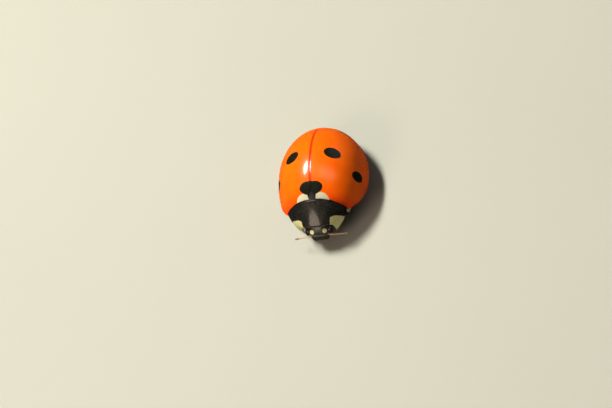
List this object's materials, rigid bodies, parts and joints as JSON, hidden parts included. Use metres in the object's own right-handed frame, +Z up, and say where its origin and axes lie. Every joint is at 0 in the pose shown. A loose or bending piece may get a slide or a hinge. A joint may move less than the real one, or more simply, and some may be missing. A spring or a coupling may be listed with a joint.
{
  "type": "ladybird",
  "caption": "Life-size model of a spotted ladybird at rest, its domed red wing cases closed and its legs drawn in under the body.",
  "frame": {"origin": "centre of the bounding box in plan, at the level of the feet", "axes": "+Z up, head towards -Y, the animal's left side towards +X"},
  "size_m": [0.0052, 0.0072, 0.0036],
  "materials": {
    "wing_case": "glossy orange-red shell with black spots, finely pitted",
    "pronotum": "satin black shell with cream front corners, finely pitted",
    "black_shell": "glossy black shell",
    "face": "satin black with two pale yellow spots, pitted",
    "eye": "black compound eye, finely faceted",
    "underside": "dull black, plated and finely haired",
    "pale_plate": "cream white plate",
    "mouthparts": "dark brown",
    "feeler": "reddish brown, darker at the club",
    "leg": "satin black with fine pale hairs"
  },
  "bodies": {
    "root": {"elytron_left": "wing_case", "elytron_right": "wing_case", "scutellum": "black_shell", "pronotum": "pronotum", "prothorax": "underside", "chest": "underside", "abdomen": "underside", "head": "face", "labrum": "black_shell", "mesepimeron_left": "pale_plate", "eye_left": "eye", "mandible_left": "mouthparts", "maxillary_palp_left": "mouthparts", "antenna_left": "feeler", "front_femur_left": "leg", "front_tibia_left": "leg", "front_tarsus_left": "leg", "middle_femur_left": "leg", "middle_tibia_left": "leg", "middle_tarsus_left": "leg", "hind_femur_left": "leg", "hind_tibia_left": "leg", "hind_tarsus_left": "leg", "mesepimeron_right": "pale_plate", "eye_right": "eye", "mandible_right": "mouthparts", "maxillary_palp_right": "mouthparts", "antenna_right": "feeler", "front_femur_right": "leg", "front_tibia_right": "leg", "front_tarsus_right": "leg", "middle_femur_right": "leg", "middle_tibia_right": "leg", "middle_tarsus_right": "leg", "hind_femur_right": "leg", "hind_tibia_right": "leg", "hind_tarsus_right": "leg"}
  },
  "joints": []
}
